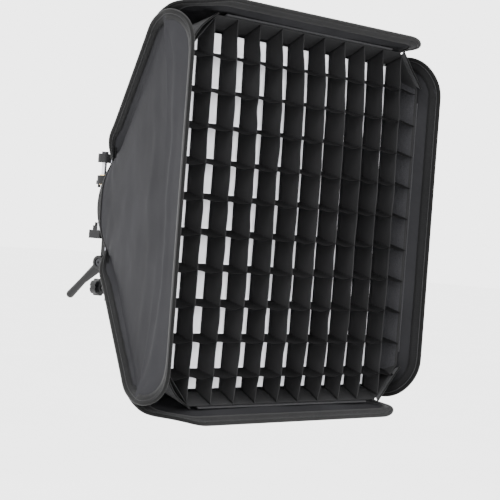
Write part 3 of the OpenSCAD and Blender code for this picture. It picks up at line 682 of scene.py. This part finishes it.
def strip_piece():
    parts_v, parts_f = [], []
    rows, cols = 9, 160
    for k in range(4):
        outer, inner = [], []
        for i in range(rows):
            d = GRID_D + HOOK_DEEP * i / (rows - 1)
            for j in range(cols):
                x = -HOOK_HALF + 2 * HOOK_HALF * j / (cols - 1)
                r = 0.25 * soft_noise(x / 1.6, d / 1.6, k, 51)
                z = middle_z(d) - CLOTH_T / 2 - 1.3
                outer.append((x, d, z + 0.1))
                inner.append((x, d, z - 1.3 + r))
        verts, faces = slab(turned(outer, k), turned(inner, k), rows, cols)
        start = sum(len(v) for v in parts_v)
        parts_f += [tuple(x + start for x in f) for f in faces]
        parts_v.append(verts)
    o = add_piece("hook_tape", np.concatenate(parts_v), parts_f, [LOOP], "head")
    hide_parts("hook_strips")


# ---------------------------------------------------------------- grid of black cloth

def inside_half(d):
    return middle_z(d) - CLOTH_T - 2.6


G_FRONT = inside_half(GRID_D) - 1.5                # half the grid's width at its front
G_BACK = inside_half(GRID_D + GRID_DEEP) - 1.5     # and at its back
# At a cut corner x + z comes to this, at the front and at the back: the gussets' places less 5 mm
CUT = (GUSSET_A[0] + GUSSET_A[2] - 5, 2 * GUSSET_TIP[0] - 5)
BULGE = 12.0                                       # how far the grid's front stands forward
SAG, DROOP = 2.6, 8.5                              # the level strips: between crossings, and overall


def bulge(x, z):
    """How far the grid's front stands forward here: most in the middle, and more to the right."""
    u, v = x / G_FRONT, z / G_FRONT
    return BULGE * max(0.0, 1 - u * u) * max(0.0, 1 - v ** 4) * (1 + 0.25 * u)


def strip_reach(i):
    """Half the length of strip i at its front edge and at its back edge."""
    place = CELL * (i - (STRIPS - 1) / 2)
    return min(G_FRONT - 1.8, CUT[0] - 2.6 - 0.5 - abs(place)), G_BACK - 1.8


def strip_mesh(i, vertical):
    """One strip of the grid, swaying and wrinkled between the strips that it crosses."""
    place = CELL * (i - (STRIPS - 1) / 2)
    per_cell, deep = 14, 9
    front, back = strip_reach(i)
    count = CELLS * per_cell + 1
    mid = []
    for a in range(count):
        s = 2 * a / (count - 1) - 1
        for b in range(deep):
            t = (0.0, 0.028, 0.06, 0.12, 0.25, 0.42, 0.6, 0.8, 1.0)[b]
            half = front + (back - front) * t
            length = s * half
            cell = (length / CELL + 0.5) % 1.0
            free = math.sin(math.pi * cell) ** 2 * (1 - t) ** 1.3
            seed = i + (60 if vertical else 90)
            cell_no = math.floor(length / CELL + 0.5)
            throw = 3.4 * soft_noise(cell_no * 1.7, i * 2.3, 0.5, seed)
            sway = throw * free + 1.4 * soft_noise(length / 36, t * 1.5, 0, seed + 9) * (1 - 0.6 * t)
            x, z = (place, length) if vertical else (length, place)
            y = GRID_D + GRID_DEEP * t - bulge(x, z) * (1 - 0.6 * t)
            y += (0.3 + 0.7 * soft_noise(cell_no * 2.1, i, 4, seed)) * free
            if vertical:
                pinch = max(0.0, (-length - 228) / 45)
                sway += 5.0 * pinch * (1 - t) * soft_noise(i * 3.1, 2, 0, 77)
                mid.append((place + sway, y, length))
            else:
                sag = -SAG * free - DROOP * (1 - t)
                droop = -3.5 * max(0.0, (abs(length) - 232) / 42) ** 1.5 * (1 - t)
                mid.append((length, y, place + sway * 0.55 + sag + droop))
    mid = np.array(mid)
    side = STRIP_HALF_T * (np.array([1, 0, 0]) if vertical else np.array([0, 0, 1]))
    verts, faces = slab(mid + side, mid - side, count, deep)
    n_side = (count - 1) * (deep - 1)
    # The upright strips' front edge gets a lighter copy of the grid cloth, a painted highlight where it
    # catches the light
    slots = [1 if vertical and b < 1 else 0 for _ in range(count - 1) for b in range(deep - 1)] * 2
    slots += [1 if vertical else 0] * (len(faces) - 2 * n_side)
    return verts, faces, slots


def grid_strips(name, vertical, replaced, cloth_used):
    vs, fs, ss, total = [], [], [], 0
    for i in range(STRIPS):
        v, f, s = strip_mesh(i, vertical)
        fs += [tuple(x + total for x in g) for g in f]
        total += len(v)
        vs.append(v)
        ss += s
    o = add_piece(name, turned(np.concatenate(vs), 0), fs, [cloth_used, GRID_EDGE_HIGHLIGHT], "grid", ss)
    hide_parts(replaced)


def grid_band():
    """The band of cloth that all the strips end in; its inner side is loop cloth on the upright sides, while
    the top and bottom get the near-black grid cloth, painted shade for the top band that faces down out of
    the light.
    """
    deep, plan = 8, []
    for d in (0, 1):
        h = (G_FRONT, G_BACK)[d]
        c = CUT[d] - h
        plan.append([(c, h), (h, c), (h, -c), (c, -h), (-c, -h), (-h, -c), (-h, c), (-c, h)])
    corner_steps = (4, 60, 4, 60, 4, 60, 4, 60)
    stations = [(e, a / corner_steps[e]) for e in range(8) for a in range(corner_steps[e])]
    rings = []
    for e, u in stations:
        ring_o, ring_i = [], []
        for b in range(deep):
            t = (0.0, 0.05, 0.1, 0.25, 0.45, 0.65, 0.85, 1.0)[b]
            f = np.array(plan[0][e]) * (1 - u) + np.array(plan[0][(e + 1) % 8]) * u
            g = np.array(plan[1][e]) * (1 - u) + np.array(plan[1][(e + 1) % 8]) * u
            p = f * (1 - t) + g * t
            r = np.linalg.norm(p)
            wave = 0.5 * soft_noise(p[0] / 18, p[1] / 18, t, 61)
            scale_o, scale_i = 1 - (0.5 + abs(wave)) / r, 1 - (1.5 + abs(wave)) / r
            ring_o.append((p[0] * scale_o, GRID_D + GRID_DEEP * t, p[1] * scale_o))
            ring_i.append((p[0] * scale_i, GRID_D + GRID_DEEP * t, p[1] * scale_i))
        rings.append(np.array(ring_o + ring_i[::-1]))
    verts, faces = sweep(rings)
    m = 2 * deep
    slots = []
    for e, _ in stations:
        # Only the upright sides show loop cloth; the top and bottom are left in near-black grid cloth,
        # painted shade where the top band faces down.
        upright = e in (1, 5)
        slots += [1 if (upright and deep <= j < m - 3) else 0 for j in range(m)]
    o = add_piece("grid_band", turned(verts, 0), faces, [GRID, LOOP], "grid", slots)
    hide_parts("grid_border")


# ---------------------------------------------------------------- front diffuser

def diffuser_piece():
    """White cloth stretched behind the grid, its corners cut off and a hem folded round it."""
    half = inside_half(DIFFUSER_D) - 4
    n = 150
    outer, inner = [], []
    for i in range(n):
        z = half * (2 * i / (n - 1) - 1)
        reach = min(half, CUT[1] - abs(z))
        for j in range(n):
            x = reach * (2 * j / (n - 1) - 1)
            edge = min(half - abs(z), reach - abs(x))
            free = 1 - math.exp(-(max(0, edge - 10) / 30) ** 2)
            r = 1.6 * free * soft_noise(x / 90, z / 60, 0, 71)
            r += 0.5 * free * math.sin((x + 0.5 * z) / 15 + 3 * soft_noise(x / 60, z / 60, 3, 72))
            hem = 0.35 if edge < 12 else 0.0
            y = DIFFUSER_D - 0.4 - 1.2 * free + r * 0.35
            outer.append((x, y - hem, z))
            inner.append((x, y + 0.5, z))
    verts, faces = slab(turned(outer, 0), turned(inner, 0), n, n)
    o = add_piece("diffuser_sheet", verts, faces, [SILK], "diffuser")
    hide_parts("front_diffuser", "diffuser_hem")


# ---------------------------------------------------------------- rear collar

def collar_piece():
    profile = [(66.0, -48.1), (80.0, -48.0), (90.0, -48.1), (92.2, -49.2), (94.0, -53.0), (95.7, -56.9),
               (94.9, -57.1), (93.0, -53.2), (91.2, -49.9), (89.6, -49.1), (80.0, -49.0), (66.0, -49.0)]
    n = 180
    rings = []
    for i in range(n):
        a = 2 * math.pi * i / n
        ring = []
        for r, y in profile:
            gather = 0.35 * math.sin(i * 2 * math.pi / 5) if r > 91 else 0.0
            ring.append(((r + gather) * math.cos(a), y - FRONT_Y, (r + gather) * math.sin(a)))
        rings.append(np.array(ring))
    verts, faces = sweep(rings)
    o = add_piece("collar_cloth", turned(verts, 0), faces, [NYLON], "head")
    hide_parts("rear_collar")


plan, wire, wire_out, wire_up = wire_frames()
for side in range(4):
    panel = panel_piece(side)
    tape, piping = tape_piece(side, plan, wire, wire_out, wire_up)
    lining_piece(side)
gusset_pieces()
strip_piece()
grid_band()
grid_strips("grid_strips_upright", True, "grid_verticals", GRID)
# The level strips wear the darker copy of the grid cloth, painted shade.
grid_strips("grid_strips_level", False, "grid_horizontals", GRID_PAINTED_SHADE)
diffuser_piece()
collar_piece()
spring_piece("lock_coil", "lock_spring", 1, 1, 5, 0.0005)
spring_piece("lever_coil", "lever_spring", 0, 0, 3, 0.0004)

# Every new mesh faces outwards
for o in new_pieces:
    bm = bmesh.new()
    bm.from_mesh(o.data)
    bmesh.ops.recalc_face_normals(bm, faces=bm.faces)
    bm.to_mesh(o.data)
    bm.free()

# ---------------------------------------------------------------- camera, light and floor

AZIMUTH, ELEVATION, ROLL = math.radians(-49.95), math.radians(0.69), math.radians(4.26)
DISTANCE = 2.760                     # metres from the camera to the grid's centre, along the view's axis
GRID_RIGHT = 0.0755                  # metres from the view's axis to the grid's centre, to the right
GRID_UP = 0.0463                     # and upwards
back = Vector((math.sin(AZIMUTH) * math.cos(ELEVATION), -math.cos(AZIMUTH) * math.cos(ELEVATION),
               math.sin(ELEVATION)))
right = (-back).cross(Vector((0, 0, 1))).normalized()
up = right.cross(-back)
right, up = (math.cos(ROLL) * right + math.sin(ROLL) * up, -math.sin(ROLL) * right + math.cos(ROLL) * up)
grid_centre = Vector((0, GRID_Y * MM, AXIS_Z * MM))
place = grid_centre + back * DISTANCE - right * GRID_RIGHT - up * GRID_UP
camera = bpy.data.objects.new("camera", bpy.data.cameras.new("camera"))
camera.data.lens = 133.2             # mm, on a sensor 36 mm wide
camera.data.sensor_width = 36
camera.matrix_world = Matrix((right, up, back)).transposed().to_4x4()
camera.location = place
bpy.context.scene.collection.objects.link(camera)
bpy.context.scene.camera = camera


def area_light(name, at, towards, size, power):
    light = bpy.data.lights.new(name, "AREA")
    light.energy, light.size = power, size
    o = bpy.data.objects.new(name, light)
    o.location = at
    o.rotation_euler = (Vector(towards) - Vector(at)).to_track_quat("-Z", "Y").to_euler()
    bpy.context.scene.collection.objects.link(o)


area_light("key_left", (-2.4, -1.5, 2.3), (0, -0.2, 0.15), 1.6, 170)
area_light("fill_front", (-0.9, -3.4, 1.0), (0, -0.3, 0.15), 1.8, 70)
area_light("top_soft", (0.4, 0.3, 2.6), (0, -0.2, 0.15), 1.6, 70)

world = bpy.data.worlds.new("studio")
world.use_nodes = True
world.node_tree.nodes["Background"].inputs[0].default_value = (1, 1, 1, 1)
world.node_tree.nodes["Background"].inputs[1].default_value = 4.0
bpy.context.scene.world = world

FLOOR_Z, FLOOR_HALF = -1.0, 40       # metres: the floor lies well below the part
floor_corners = [(x * FLOOR_HALF, y * FLOOR_HALF, FLOOR_Z) for x, y in ((-1, -1), (1, -1), (1, 1), (-1, 1))]
floor_mesh = bpy.data.meshes.new("floor")
floor_mesh.from_pydata(floor_corners, [], [(0, 1, 2, 3)])
floor = bpy.data.objects.new("floor", floor_mesh)
floor_material, floor_tree, floor_shader = new_material("floor_pale")
floor_shader.inputs["Roughness"].default_value = 0.9
shade(floor_tree, floor_shader, (0.90, 0.90, 0.90), (0.93, 0.93, 0.93), grain(floor_tree, 1.5))
floor_mesh.materials.append(floor_material)
bpy.context.scene.collection.objects.link(floor)
